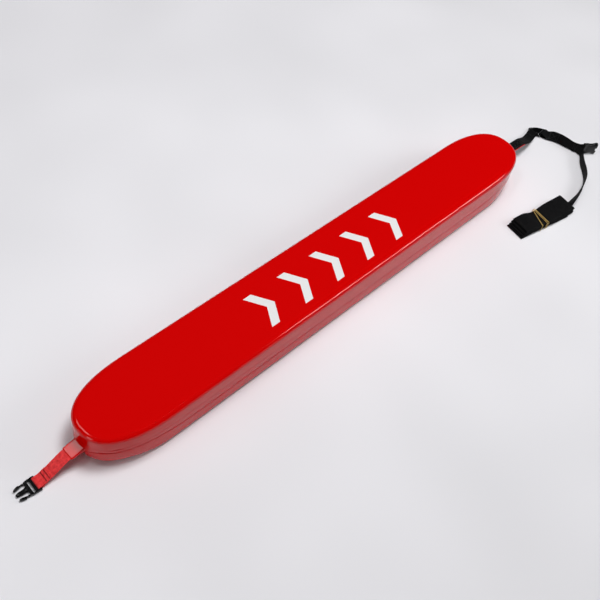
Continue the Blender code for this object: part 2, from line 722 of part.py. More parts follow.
def band_squeeze(a):
    """Share of the strap's width left where the elastic band draws its edges in."""
    return 1 - 0.10 * math.exp(-((a - BAND_PLACE) / 0.022) ** 2)


def folded_path():
    """Centre line of the shoulder strap in the bundle's own frame: (along, sideways, up)."""
    points = []
    turn_steps = 5
    start, side = TAB_START
    for layer in range(FOLD_LAYERS):
        going = -1 if layer % 2 == 0 else 1
        end, next_side = (NEAR_FOLDS if going < 0 else FAR_FOLDS)[layer // 2]
        stops = sorted([p for p, _ in TAB_ROUNDING if layer == 0] + list(RUN_PLACES), reverse=going < 0)
        stops = [a for a in stops if (a - start) * going > 0.001 and (end - a) * going > 0.0015]
        for a in [start] + stops + [end]:
            share = (a - start) / (end - start)
            bow = -0.0030 * math.exp(-((a - BAND_PLACE) / 0.035) ** 2)
            points.append((a, side + (next_side - side) * share + bow, layer_height(layer, a)))
        if layer < FOLD_LAYERS - 1:
            low, high = layer_height(layer, end), layer_height(layer + 1, end)
            radius = (high - low) / 2 * 1.08
            for i in range(1, turn_steps):
                t = math.pi * i / turn_steps
                points.append((end + going * radius * math.sin(t) * 1.6, next_side,
                               (low + high) / 2 - radius * math.cos(t)))
        start, side = end, next_side
    return points


def bundle_to_world(point):
    a, b, z = point
    heading = math.radians(BUNDLE_HEADING)
    x = BUNDLE_CENTRE[0] + a * math.cos(heading) - b * math.sin(heading)
    y = BUNDLE_CENTRE[1] + a * math.sin(heading) + b * math.cos(heading)
    return Vector((x, y, z))


def least_self_gap(points, thickness, skip):
    """Smallest clear space between two layers, measured in the bundle's own side view."""
    least = 1.0
    for i, (a, _, z) in enumerate(points):
        for j in range(i + skip, len(points) - 1):
            a0, z0 = points[j][0], points[j][2]
            a1, z1 = points[j + 1][0], points[j + 1][2]
            da, dz = a1 - a0, z1 - z0
            t = ((a - a0) * da + (z - z0) * dz) / (da * da + dz * dz)
            t = min(max(t, 0.0), 1.0)
            least = min(least, math.hypot(a - a0 - t * da, z - z0 - t * dz) - thickness)
    return least


def make_bundle(black_web):
    """50 mm shoulder strap, one unbroken length folded to and fro; its first end has rounded corners."""
    local = folded_path()
    path = [bundle_to_world(p) for p in local]
    heading = math.radians(BUNDLE_HEADING)
    wide = Vector((-math.sin(heading), math.cos(heading), 0))
    length = sum((b - a).length for a, b in zip(path, path[1:]))
    gap = least_self_gap(local, SHOULDER_WEB, 6)
    print("shoulder strap length %.4f m, least gap between its layers %.2f mm" % (length, gap * 1000))
    shares = [table_value(TAB_ROUNDING, a) * band_squeeze(a) for a, _, _ in local]
    return local, band("shoulder_strap", path, [wide] * len(path), SHOULDER_WIDTH, SHOULDER_WEB, black_web,
                       shares=shares)


def make_elastic(rubber, local):
    """Elastic band wound three times round the folded strap, one closed strand."""
    under_band = [p for p in local if -0.021 <= p[0] - BAND_PLACE <= 0.013]
    gap = BAND_ROD + 0.0005
    far = max(b + SHOULDER_WIDTH / 2 * band_squeeze(a) for a, b, _ in under_band) + 0.0002
    near = min(b - SHOULDER_WIDTH / 2 * band_squeeze(a) for a, b, _ in under_band) - 0.0002
    high = max(z for _, _, z in under_band) + SHOULDER_WEB / 2
    deep = BUNDLE_FLOOR + BAND_ROD + gap
    raised = BUNDLE_FLOOR + BAND_LIFT + gap - BAND_ROD - 0.0003
    path = []
    for turn, (far_place, near_place) in enumerate(BAND_CROSSINGS):
        far_low = raised if turn == 0 else deep
        near_low = raised if turn == len(BAND_CROSSINGS) - 1 else deep
        corners = ((far, far_low, far_place), (far, high, far_place), (near, high, near_place),
                   (near, near_low, near_place))
        for index, (b, z, a) in enumerate(corners):
            first = -math.pi / 2 + math.pi / 2 * index
            for i in range(4):
                t = first + math.pi / 2 * i / 3
                path.append(bundle_to_world((BAND_PLACE + a, b + gap * math.cos(t), z + gap * math.sin(t))))
    heading = math.radians(BUNDLE_HEADING)
    axis = Vector((math.cos(heading), math.sin(heading), 0))
    sides = 6
    rings = []
    for centre, along in zip(path, tangents(path, closed=True)):
        side_way = (axis - along * axis.dot(along)).normalized()
        up = along.cross(side_way)
        ring = []
        for i in range(sides):
            t = 2 * math.pi * i / sides
            ring.append(centre + side_way * math.cos(t) * BAND_ROD + up * math.sin(t) * BAND_ROD)
        rings.append(ring)
    return link("elastic_band", loft(rings, closed=True, name="elastic"), rubber)


def main():
    clear_scene()
    vinyl = material("red_vinyl", (0.60, 0.004, 0.004), 0.16)
    foam = material("closed_cell_foam", (0.80, 0.78, 0.70), 0.85)
    red_web = material("red_webbing", (0.58, 0.020, 0.030), 0.62)
    black_web = material("black_webbing", (0.012, 0.012, 0.013), 0.70)
    plastic = material("black_acetal", (0.010, 0.010, 0.011), 0.32)
    rubber = material("tan_rubber", (0.50, 0.37, 0.16), 0.45)
    make_tube(vinyl, foam, red_web)
    make_tail(red_web)
    make_plug(plastic)
    make_prongs(plastic)
    make_anchor(black_web)
    make_ring(plastic)
    strap_line, strap_normals, strap_leans = make_socket_strap(black_web)
    make_socket(plastic)
    make_towline(black_web, strap_line, strap_normals, strap_leans)
    folded_line, _ = make_bundle(black_web)
    make_elastic(rubber, folded_line)


main()
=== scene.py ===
"""Rescue buoy: the visual model, its light and its camera, over the CAD frame."""
import math

import bmesh
import bpy
from mathutils import Matrix, Vector


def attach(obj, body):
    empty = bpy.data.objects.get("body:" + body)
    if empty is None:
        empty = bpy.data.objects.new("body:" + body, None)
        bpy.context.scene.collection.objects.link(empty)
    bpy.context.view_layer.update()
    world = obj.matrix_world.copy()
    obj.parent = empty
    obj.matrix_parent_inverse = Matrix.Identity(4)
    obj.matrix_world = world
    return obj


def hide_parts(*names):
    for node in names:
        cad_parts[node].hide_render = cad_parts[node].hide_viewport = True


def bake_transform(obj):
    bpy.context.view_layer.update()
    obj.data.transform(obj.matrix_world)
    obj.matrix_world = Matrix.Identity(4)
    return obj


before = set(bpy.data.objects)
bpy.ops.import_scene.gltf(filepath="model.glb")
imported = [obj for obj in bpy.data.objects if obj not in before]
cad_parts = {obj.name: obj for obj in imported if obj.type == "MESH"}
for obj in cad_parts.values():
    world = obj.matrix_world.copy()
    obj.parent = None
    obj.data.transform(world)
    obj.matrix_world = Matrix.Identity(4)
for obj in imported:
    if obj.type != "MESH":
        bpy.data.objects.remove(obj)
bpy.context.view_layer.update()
UP = Vector((0, 0, 1))
SIDEWAYS = Vector((0, 1, 0))

# Tube, as in the CAD
TUBE_LENGTH = 1.270
TUBE_WIDTH = 0.162
TUBE_HEIGHT = 0.090
END_LENGTH = 0.158
END_FULLNESS = 2.4
TIP_RIM_GROWTH = 0.016
TIP_RIM_START = 0.500
TIP_RIM_LENGTH = 0.100
SEAM_HEIGHT = 0.036
TONGUE_TIP = TUBE_LENGTH / 2 + 0.027

# Tube, where it follows the photo more closely than the CAD does
EDGE_RADIUS = 0.0100
CAP_INSET = 0.006
SEAM_DEPTH = 0.00085
SEAM_RISE = 0.013
UPPER_GROOVE = 0.0555
UPPER_GROOVE_DEPTH = 0.00030
GROOVE_HALF = 0.0016

# A groove's profile: offset from its middle and share of its depth
GROOVE_PROFILE = ((-GROOVE_HALF, 0.0), (-0.0010, 0.14), (-0.0005, 0.65), (0.0, 1.0), (0.0005, 0.65),
                  (0.0010, 0.14), (GROOVE_HALF, 0.0))
ROWS_ABOVE_GROOVE = (0.0035, 0.0080, 0.0140)

# Creases beside the near tongue: place along, height, depth, half length and half width
CREASES = ((-0.597, UPPER_GROOVE, 0.0013, 0.0065, 0.0013), (-0.615, SEAM_HEIGHT, 0.0010, 0.012, 0.0011))

# Tongues, a little thicker at the root than in the CAD: reach past the tube's end, half width,
# half height, lift and fullness
TONGUE_SECTIONS = (
    (-0.010, 0.0155, 0.0070, 0.0028, 8.0), (0.000, 0.0150, 0.0060, 0.0026, 9.0),
    (0.002, 0.0148, 0.0056, 0.0023, 9.0), (0.006, 0.0147, 0.0049, 0.0019, 9.0),
    (0.012, 0.0146, 0.0041, 0.0013, 9.0), (0.018, 0.0144, 0.0034, 0.0006, 9.0),
    (0.0255, 0.0142, 0.0026, 0.0000, 8.0), (0.0266, 0.0140, 0.0023, 0.0000, 8.0),
    (0.0270, 0.0135, 0.0018, 0.0000, 8.0),
)
TONGUE_SIDES = 36

# Webbing and buckle, as in the CAD
WEB_WIDTH = 0.025
WEB = 0.0016
PLY_GAP = 0.00015
BAR_RADIUS = 0.0021
EYE_CLEARANCE = 0.00035
EYE_TAPER = 0.012
TAIL_GAP = 0.0009
TAIL_REACH = 0.0621
TAIL_TURN = -2.0
PLUG_BAR_Z = 0.0043
SOCKET_BAR = Vector((0.8688, -0.1115, 0.0172))
RING_CORNER = Vector((0.8245, -0.0030, 0.0048))
RING_ROD = 0.0023
ANCHOR_ON_BAR = 0.0186
SOCKET_ON_BAR = 0.0180
EYE_SLACK = 0.0030
TAB_LENGTH = 0.062
TAB_MARGIN = 0.002
TAB_TAPER = 0.010

# The black straps' middle lines, between their ends at the tube, the ring and the socket
ANCHOR_START = 0.002
ANCHOR_ROUTE = (
    (0, 0, SEAM_HEIGHT), (0.024, -0.0002, SEAM_HEIGHT), (0.048, -0.0005, 0.0358), (0.066, -0.0002, 0.0325),
    (0.088, 0.0012, 0.0235), (0.110, 0.0050, 0.0135), (0.132, 0.0102, 0.0072),
)
# The same with the webbing's lean in degrees, from level to upright
SOCKET_STRAP_ROUTE = (
    ((0.8427, -0.0120, 0.0076), 4), ((0.8460, -0.0215, 0.0090), 24), ((0.8510, -0.0330, 0.0112), 46),
    ((0.8545, -0.0500, 0.0128), 60), ((0.8558, -0.0680, 0.0135), 74), ((0.8572, -0.0850, 0.0140), 86),
    ((0.8600, -0.0955, 0.0150), 90), ((0.8640, -0.1050, 0.0163), 90),
)
TOWLINE_ROUTE = (
    ((0.8583, -0.1075, 0.0140), 90), ((0.8575, -0.1150, 0.0138), 90), ((0.8520, -0.1212, 0.0136), 90),
    ((0.8440, -0.1265, 0.0134), 90), ((0.8340, -0.1332, 0.0134), 90), ((0.8235, -0.1425, 0.0134), 90),
    ((0.8120, -0.1540, 0.0134), 90), ((0.8000, -0.1655, 0.0134), 90), ((0.7860, -0.1765, 0.0134), 90),
    ((0.7700, -0.1850, 0.0134), 90), ((0.7520, -0.1912, 0.0133), 88), ((0.7340, -0.1960, 0.0132), 82),
    ((0.7180, -0.1999, 0.0128), 72), ((0.7039, -0.2024, 0.0122), 64), ((0.6910, -0.2043, 0.0117), 58),
    ((0.6790, -0.2053, 0.0114), 50), ((0.6682, -0.2045, 0.0080), 25), ((0.6592, -0.2028, 0.0040), 6),
    ((0.6463, -0.2010, 0.0027), 0),
)
# Shares of the socket strap's line where the towline lies sewn to it
TOWLINE_SEWN_AT = (0.69, 0.74, 0.80)
TOWLINE_GAP = 0.0001

# Stitches: a thread's profile is (share of the stitch's length, lift in thread radii)
THREAD_PROFILE = ((-0.5, -0.9), (-0.3, 0.35), (0.0, 0.75), (0.3, 0.35), (0.5, -0.9))
THREAD_SIDES = 6
THREAD_FLATNESS = 0.8
THREAD_LIFT = 0.0001
STITCH_SHARE = 0.82
ROW_HALF = 0.0105
BOX_HALF = 0.0095

# Folded shoulder strap, as in the CAD, with its folds as (along, sideways) places from the bottom up
BUNDLE_CENTRE = (0.567, -0.190)
BUNDLE_HEADING = math.radians(-8.6)
SHOULDER_WIDTH = 0.050
SHOULDER_WEB = 0.0013
FOLD_LAYERS = 8
TAB_START = (0.1075, 0.0030)
NEAR_FOLDS = ((-0.0840, 0.0045), (-0.0790, 0.0040), (-0.0745, 0.0050), (-0.0690, 0.0050))
FAR_FOLDS = ((0.0710, -0.0010), (0.0900, 0.0015), (0.0960, 0.0035), (0.0935, 0.0035))
FOLD_PITCHES = ((-0.090, 0.00215), (-0.066, 0.00245), (-0.045, 0.00250), (-0.032, 0.00225), (-0.022, 0.00180),
                (0.004, 0.00178), (0.024, 0.00200), (0.050, 0.00235), (0.096, 0.00265), (0.120, 0.00265))
TAB_ROUNDING = ((0.0960, 1.0), (0.1015, 0.95), (0.1055, 0.84), (0.1075, 0.70))
BUNDLE_FLOOR = 0.0001
BAND_LIFT = 0.0030
BAND_PLACE = -0.008
BAND_ROD = 0.00052
BAND_CROSSINGS = ((0.0070, 0.0060), (0.0040, 0.0010), (0.0010, -0.0160))

# Weave: width of a rib across the webbing and length of a pick along it
RIB_WIDTH = 0.00125
PICK_LENGTH = 0.0021


# Camera

def make_camera():
    """The photo's viewpoint, from a fit to the tube's outline."""
    azimuth, elevation, roll = -0.9477167, 0.8937842, 0.21846434
    aim, distance = Vector((-0.070133, 0.004529, 0)), 1.836863
    sensor, focal_ratio = 36, 1.42539664
    back = Vector((math.sin(azimuth) * math.cos(elevation), -math.cos(azimuth) * math.cos(elevation),
                   math.sin(elevation)))
    eye = aim + back * distance
    right = (-back).cross(UP).normalized()
    up = right.cross(-back)
    turned_right = right * math.cos(roll) + up * math.sin(roll)
    turned_up = up * math.cos(roll) - right * math.sin(roll)
    data = bpy.data.cameras.new("camera")
    data.sensor_width = sensor
    data.lens = focal_ratio * sensor
    data.clip_start = 0.05
    data.clip_end = 60
    camera = bpy.data.objects.new("camera", data)
    bpy.context.scene.collection.objects.link(camera)
    place = Matrix((turned_right, turned_up, back)).transposed().to_4x4()
    place.translation = eye
    camera.matrix_world = place
    bpy.context.scene.camera = camera


make_camera()


# Shader helpers

def node_group(name, inputs, outputs):
    """An empty shader node group of number sockets, with its input node and its output node."""
    group = bpy.data.node_groups.new(name, "ShaderNodeTree")
    for label in inputs:
        group.interface.new_socket(label, in_out="INPUT", socket_type="NodeSocketFloat")
    for label in outputs:
        group.interface.new_socket(label, in_out="OUTPUT", socket_type="NodeSocketFloat")
    return group, group.nodes.new("NodeGroupInput"), group.nodes.new("NodeGroupOutput")


def maths(tree, operation, first, second=None):
    """A maths node whose arguments are sockets or numbers."""
    node = tree.nodes.new("ShaderNodeMath")
    node.operation = operation
    for index, value in enumerate((first, second)):
        if value is None:
            continue
        if isinstance(value, (int, float)):
            node.inputs[index].default_value = value
        else:
            tree.links.new(value, node.inputs[index])
    return node.outputs[0]


def half_waves(tree, phase):
    """Round humps, one for each unit of phase."""
    return maths(tree, "ABSOLUTE", maths(tree, "SINE", maths(tree, "MULTIPLY", phase, math.pi)))


def set_inputs(node, values):
    for label, value in values.items():
        node.inputs[label].default_value = value


def noise_texture(tree, vector, scale, detail):
    noise = tree.nodes.new("ShaderNodeTexNoise")
    set_inputs(noise, {"Scale": scale, "Detail": detail})
    tree.links.new(vector, noise.inputs["Vector"])
    return noise.outputs[0]


def colour_mix(tree, share, first, second):
    """A plain colour between two, by a share from 0 to 1."""
    mix = tree.nodes.new("ShaderNodeMix")
    mix.data_type = "RGBA"
    mix.inputs[6].default_value = (*first, 1)
    mix.inputs[7].default_value = (*second, 1)
    tree.links.new(share, mix.inputs[0])
    return mix.outputs[2]


def fall_off(tree, value, start, end):
    """1 up to the start and 0 from the end on, with a smooth step between them."""
    step = tree.nodes.new("ShaderNodeMapRange")
    step.interpolation_type = "SMOOTHSTEP"
    set_inputs(step, {"From Min": start, "From Max": end, "To Min": 1.0, "To Max": 0.0})
    tree.links.new(value, step.inputs["Value"])
    return step.outputs[0]


def add_bump(tree, shader, height, strength, distance):
    bump = tree.nodes.new("ShaderNodeBump")
    set_inputs(bump, {"Strength": strength, "Distance": distance})
    tree.links.new(height, bump.inputs["Height"])
    tree.links.new(bump.outputs[0], shader.inputs["Normal"])


def new_material(name):
    mat = bpy.data.materials.new(name)
    mat.use_nodes = True
    return mat, mat.node_tree, mat.node_tree.nodes["Principled BSDF"]


# Materials

def weave_group():
    """Woven webbing from its UV map, in metres along and across: height of the threads and a shade mask,
    which paints shade into the valleys between the threads and adds random blotches of tone.
    """
    stagger_share, rib_roundness, pick_roundness = 0.25, 0.6, 0.5
    blotch_scale, blotch_detail, blotch_strength = 150, 3, 1.5
    relief_shade, base_shade = 0.45, 0.32
    group, start, end = node_group("weave", ("Rib", "Pick"), ("Height", "Shade"))
    uv = group.nodes.new("ShaderNodeUVMap")
    parts = group.nodes.new("ShaderNodeSeparateXYZ")
    group.links.new(uv.outputs[0], parts.inputs[0])
    ribs = maths(group, "DIVIDE", parts.outputs[1], start.outputs["Rib"])
    picks = maths(group, "DIVIDE", parts.outputs[0], start.outputs["Pick"])
    stagger = maths(group, "MULTIPLY", maths(group, "FLOOR", ribs), stagger_share)
    rib_wave = half_waves(group, ribs)
    pick_wave = half_waves(group, maths(group, "ADD", picks, stagger))
    height = maths(group, "MULTIPLY", maths(group, "POWER", rib_wave, rib_roundness),
                   maths(group, "POWER", pick_wave, pick_roundness))
    group.links.new(height, end.inputs["Height"])
    noise = noise_texture(group, uv.outputs[0], blotch_scale, blotch_detail)
    blotches = maths(group, "MULTIPLY", maths(group, "SUBTRACT", noise, 0.5), blotch_strength)
    # Painted shade: the tone follows the threads' height, darker in the valleys between them; the blotches
    # are random tone.
    shade = maths(group, "ADD", maths(group, "MULTIPLY", height, relief_shade),
                  maths(group, "ADD", blotches, base_shade))
    group.links.new(shade, end.inputs["Shade"])
    return group


def webbing_material(name, dark, light, group, sheen, specular):
    """Woven webbing between a dark and a light shade of its colour, mixed by the weave's mask: painted shade
    in the valleys between the threads and random blotches.
    """
    mat, tree, shader = new_material(name)
    weave = tree.nodes.new("ShaderNodeGroup")
    weave.node_tree = group
    set_inputs(weave, {"Rib": RIB_WIDTH, "Pick": PICK_LENGTH})
    tree.links.new(colour_mix(tree, weave.outputs["Shade"], dark, light), shader.inputs["Base Color"])
    add_bump(tree, shader, weave.outputs["Height"], strength=0.55, distance=0.00035)
    set_inputs(shader, {"Roughness": 0.62, "Specular IOR Level": specular, "Sheen Weight": sheen,
                        "Sheen Roughness": 0.4})
    return mat


def vinyl_material():
    """Dipped vinyl: strong red and glossy, with a slow ripple and faint lines along its wall."""
    ripple_scale, ripple_detail = 9, 2
    line_stretch, line_detail, line_share = (2.2, 2.2, 115), 3, 0.26
    mat, tree, shader = new_material("vinyl")
    set_inputs(shader, {"Base Color": (0.60, 0.0010, 0.0010, 1), "Roughness": 0.09, "IOR": 1.35})
    place = tree.nodes.new("ShaderNodeTexCoord")
    ripple = noise_texture(tree, place.outputs["Object"], ripple_scale, ripple_detail)
    stretch = tree.nodes.new("ShaderNodeMapping")
    stretch.inputs["Scale"].default_value = line_stretch
    tree.links.new(place.outputs["Object"], stretch.inputs["Vector"])
    lines = noise_texture(tree, stretch.outputs[0], 1, line_detail)
    height = maths(tree, "ADD", ripple, maths(tree, "MULTIPLY", lines, line_share))
    add_bump(tree, shader, height, strength=0.5, distance=0.0020)
    return mat


def plastic_material():
    """Black acetal with the fine spark texture of a mould."""
    grain_scale, grain_detail = 2400, 2
    mat, tree, shader = new_material("acetal")
    set_inputs(shader, {"Base Color": (0.0022, 0.0022, 0.0025, 1), "Roughness": 0.24,
                        "Specular IOR Level": 0.30})
    place = tree.nodes.new("ShaderNodeTexCoord")
    grain = noise_texture(tree, place.outputs["Object"], grain_scale, grain_detail)
    add_bump(tree, shader, grain, strength=0.25, distance=0.00008)
    return mat


def plain_material(name, colour, roughness, specular=0.5):
    mat, _, shader = new_material(name)
    set_inputs(shader, {"Base Color": (*colour, 1), "Roughness": roughness, "Specular IOR Level": specular})
    return mat


weave_nodes = weave_group()
VINYL = vinyl_material()
RED_WEB = webbing_material("red webbing", (0.42, 0.003, 0.005), (0.98, 0.070, 0.074), weave_nodes,
                           sheen=0.12, specular=0.14)
BLACK_WEB = webbing_material("black webbing", (0.0015, 0.0015, 0.0018), (0.0085, 0.0085, 0.0092), weave_nodes,
                             sheen=0.002, specular=0.06)
ACETAL = plastic_material()
# Painted shade: the red thread is coloured far darker than the red webbing it is sewn into, standing in for
# the shade in the stitch dents.
RED_THREAD_PAINTED_SHADE = plain_material("red thread with painted shade", (0.045, 0.001, 0.002), 0.6, 0.2)
BLACK_THREAD = plain_material("black thread", (0.016, 0.016, 0.017), 0.45)
RUBBER = plain_material("rubber", (0.84, 0.58, 0.17), 0.40)
MARK = plain_material("white ink", (0.80, 0.80, 0.80), 0.30)


# Curve and mesh helpers

def smooth(t):
    """Smooth step from 0 to 1."""
    t = min(max(t, 0.0), 1.0)
    return t * t * (3 - 2 * t)


def catmull_rom(points, steps):
    """Smooth curve through the points, with steps spans between each pair."""
    ends = [2 * points[0] - points[1]] + list(points) + [2 * points[-1] - points[-2]]
    curve = []
    for i in range(1, len(ends) - 2):
        p0, p1, p2, p3 = ends[i - 1:i + 3]
        for j in range(steps):
            t = j / steps
            curve.append(0.5 * (2 * p1 + (p2 - p0) * t + (2 * p0 - 5 * p1 + 4 * p2 - p3) * t * t
                                + (3 * p1 - p0 - 3 * p2 + p3) * t ** 3))
    curve.append(ends[-2].copy())
    return curve


def bezier(handles, steps):
    """Pairs of values along a cubic curve with four handles."""
    places = []
    for i in range(steps + 1):
        t = i / steps
        weights = ((1 - t) ** 3, 3 * t * (1 - t) ** 2, 3 * t * t * (1 - t), t ** 3)
        places.append([sum(w * h[k] for w, h in zip(weights, handles)) for k in (0, 1)])
    return places


def tangents(path, closed=False):
    """Unit direction of a path at each of its points."""
    count = len(path)
    result = []
    for i in range(count):
        before = path[(i - 1) % count] if closed or i > 0 else path[i]
        after = path[(i + 1) % count] if closed or i < count - 1 else path[i]
        result.append((after - before).normalized())
    return result


def distances_along(path):
    """Distance from the path's start to each of its points."""
    distances = [0.0]
    for a, b in zip(path, path[1:]):
        distances.append(distances[-1] + (b - a).length)
    return distances


def squared(wide, along):
    """The width's direction, turned square to the path."""
    return (wide - along * wide.dot(along)).normalized()


def superellipse(half_a, half_b, power, count):
    points = []
    for i in range(count):
        t = 2 * math.pi * i / count
        c, s = math.cos(t), math.sin(t)
        points.append((half_a * math.copysign(abs(c) ** (2 / power), c),
                       half_b * math.copysign(abs(s) ** (2 / power), s)))
    return points


def loft_into(bm, rings, closed=False, distances=None, across=None):
    """Adds a skin over rings. With distances it maps the skin along its length and across."""
    loops = [[bm.verts.new(p) for p in ring] for ring in rings]
    uv = bm.loops.layers.uv.verify() if distances else None
    count = len(loops[0])
    last = len(loops) if closed else len(loops) - 1
    for i in range(last):
        j = (i + 1) % len(loops)
        for k in range(count):
            m = (k + 1) % count
            face = bm.faces.new((loops[i][k], loops[i][m], loops[j][m], loops[j][k]))
            if uv:
                end = distances[i + 1]
                for corner, s, c in zip(face.loops, (distances[i], distances[i], end, end), (k, m, m, k)):
                    corner[uv].uv = (s, across[c])
    if not closed:
        bm.faces.new(list(reversed(loops[0])))
        bm.faces.new(loops[-1])


def mesh_from(bm, name):
    """Turns the working mesh into a mesh, with its faces outwards."""
    bmesh.ops.recalc_face_normals(bm, faces=bm.faces)
    mesh = bpy.data.meshes.new(name)
    bm.to_mesh(mesh)
    bm.free()
    return mesh


def new_object(name, mesh, mat, sharp=None):
    """A smooth shaded object, with edges kept sharp beyond an angle in degrees."""
    item = bpy.data.objects.new(name, mesh)
    bpy.context.scene.collection.objects.link(item)
    mesh.materials.append(mat)
    mesh.shade_smooth()
    if sharp:
        mesh.set_sharp_from_angle(angle=math.radians(sharp))
    return item


# Webbing helpers

def webbing_section(width, thickness):
    """Outline of flat webbing, with soft selvages and slightly crowned faces."""
    half, thick = width / 2, thickness / 2
    cut = thick * 0.45
    crown = thick * 1.04
    face = [(half, thick - cut), (half - 0.5 * cut, thick - 0.2 * cut), (half - 1.6 * cut, thick),
            (0.0, crown), (1.6 * cut - half, thick), (0.5 * cut - half, thick - 0.2 * cut),
            (-half, thick - cut)]
    return face + [(-a, -b) for a, b in face]


def ribbon(name, path, across, width, thickness, mat, closed=False, shares=None):
    """Webbing swept along a path, with a map for its weave. Shares narrow it."""
    section = webbing_section(width, thickness)
    rings = []
    shares = shares or [1.0] * len(path)
    for centre, along, wide, share in zip(path, tangents(path, closed), across, shares):
        wide = squared(wide, along)
        normal = along.cross(wide)
        rings.append([centre + wide * a * share + normal * b for a, b in section])
    distances = distances_along(path + path[:1])
    bm = bmesh.new()
    loft_into(bm, rings, closed, distances, [a for a, _ in section])
    return new_object(name, mesh_from(bm, name), mat, sharp=60)


def leaning_curve(knots, steps):
    """Curve through (place, lean) knots: its points, their leans and the direction of the webbing's width."""
    path = catmull_rom([p for p, _ in knots], steps)
    leans = [v.x for v in catmull_rom([Vector((lean, 0, 0)) for _, lean in knots], steps)]
    across = []
    for along, lean in zip(tangents(path), leans):
        level = UP.cross(along).normalized()
        angle = math.radians(min(max(lean, 0), 90))
        across.append(level * math.cos(angle) + UP * math.sin(angle))
    return path, leans, across


def ply_paths(centre_line, across, opening):
    """The two plies of a doubled strap. The opening gives each ply's distance from the centre line."""
    along = tangents(centre_line)
    normals = [a.cross(w - a * w.dot(a)).normalized() for a, w in zip(along, across)]
    lengths = distances_along(centre_line)
    offsets = [opening(s, lengths[-1]) for s in lengths]
    first = [c - n * d for c, n, d in zip(centre_line, normals, offsets)]
    second = [c + n * d for c, n, d in zip(centre_line, normals, offsets)]
    return first, second, along, normals


def eye_opening(distance, eye, reach):
    """Distance of a ply from the centre line, opening into an eye towards distance 0."""
    shut = (WEB + PLY_GAP) / 2
    return shut + (eye - shut) * smooth(1 - distance / reach)


def eye_turn(centre, along, normal, radius):
    """Half circle round a bar, from the first ply to the second."""
    steps = 14
    points = []
    for i in range(1, steps):
        t = math.pi * i / steps
        points.append(centre - normal * math.cos(t) * radius + along * math.sin(t) * radius)
    return points


# Stitch helpers

class Strap:
    """A flat strap's surface, for putting stitches on it: point and directions at (distance, across)."""

    def __init__(self, path, across, lift):
        self.path, self.lift = path, lift
        self.along = tangents(path)
        self.across = [squared(wide, along) for along, wide in zip(self.along, across)]
        self.distances = distances_along(path)

    def at(self, distance, side):
        i = 0
        while i < len(self.distances) - 2 and self.distances[i + 1] < distance:
            i += 1
        t = (distance - self.distances[i]) / max(self.distances[i + 1] - self.distances[i], 1e-9)
        centre = self.path[i].lerp(self.path[i + 1], t)
        along = self.along[i].lerp(self.along[i + 1], t).normalized()
        wide = self.across[i].lerp(self.across[i + 1], t).normalized()
        normal = along.cross(wide)
        return centre + wide * side + normal * self.lift, along, wide, normal


def stitch_into(bm, centre, along, normal, length, radius):
    """One thread stitch that dips into the webbing at both ends."""
    side = along.cross(normal).normalized()
    rings = []
    for share, lift in THREAD_PROFILE:
        middle = centre + along * (length * share) + normal * (radius * lift)
        ring = []
        for i in range(THREAD_SIDES):
            t = math.pi * 2 * i / THREAD_SIDES
            ring.append(middle + side * math.cos(t) * radius
                        + normal * math.sin(t) * radius * THREAD_FLATNESS)
        rings.append(ring)
    loft_into(bm, rings)


def sew(bm, strap, rows, pitch=0.0030, radius=0.00032, flip=1):
    """Rows of stitches. Each row runs from one (distance, side) to another."""
    for (s0, a0), (s1, a1) in rows:
        span = math.hypot(s1 - s0, a1 - a0)
        count = max(1, int(span / pitch))
        for i in range(count):
            t = (i + 0.5) / count
            point, along, wide, normal = strap.at(s0 + (s1 - s0) * t, a0 + (a1 - a0) * t)
            direction = (along * (s1 - s0) + wide * (a1 - a0)).normalized()
            stitch_into(bm, point, direction, normal * flip, span / count * STITCH_SHARE, radius)


def box_stitch(start, end):
    """Rows of a sewn box with a cross in it."""
    low, high = -BOX_HALF, BOX_HALF
    return [((start, low), (end, low)), ((end, low), (end, high)), ((end, high), (start, high)),
            ((start, high), (start, low)), ((start, low), (end, high)), ((start, high), (end, low))]


def cross_rows(places, half=ROW_HALF):
    """Rows across the strap at the given distances, sewn to and fro."""
    rows = []
    for i, place in enumerate(places):
        side = half if i % 2 else -half
        rows.append(((place, side), (place, -side)))
    return rows


def thread_object(name, bm, mat):
    return new_object(name, mesh_from(bm, name), mat)


# Foam tube

def tube_outline(inset):
    """Plan of the tube, drawn in by inset."""
    end_steps, side_steps = 44, 24
    half_width = TUBE_WIDTH / 2 - inset
    reach = END_LENGTH - inset
    shoulder = TUBE_LENGTH / 2 - END_LENGTH
    quarter = []
    for i in range(end_steps + 1):
        t = math.pi / 2 * i / end_steps
        quarter.append((shoulder + reach * math.cos(t) ** (2 / END_FULLNESS),
                        half_width * math.sin(t) ** (2 / END_FULLNESS)))
    quarter[-1] = (shoulder, half_width)
    side = [(shoulder * (1 - 2 * i / side_steps), half_width) for i in range(1, side_steps)]
    upper = quarter + side + [(-x, y) for x, y in reversed(quarter)]
    return upper + [(x, -y) for x, y in reversed(upper[1:-1])]


def crease_depth(x, y, z):
    """Depth of the two short creases in the vinyl beside the near tongue."""
    if y > 0:
        return 0.0
    return sum(depth * math.exp(-((x - place) / half_length) ** 2 - ((z - height) / half_width) ** 2)
               for place, height, depth, half_length, half_width in CREASES)


def seam_lift(x, y, z):
    """Rise of the seam towards the two tips. It comes down again to the tongue."""
    start, length = 0.44, 0.12
    tongue_side, tongue_run = 0.012, 0.028
    spread = 0.016
    share = smooth((abs(x) - start) / length) * smooth((abs(y) - tongue_side) / tongue_run)
    return SEAM_RISE * share * math.exp(-((z - SEAM_HEIGHT) / spread) ** 2)


def tongue_root(x, y, z):
    """Swelling of a tip, along the tube, where the tongue grows out of it."""
    swelling, half_width, half_height = 0.0044, 0.0165, 0.0095
    start, length = 0.55, 0.06
    root = swelling * math.exp(-(y / half_width) ** 2 - ((z - SEAM_HEIGHT) / half_height) ** 2)
    return math.copysign(root, x) * smooth((abs(x) - start) / length)


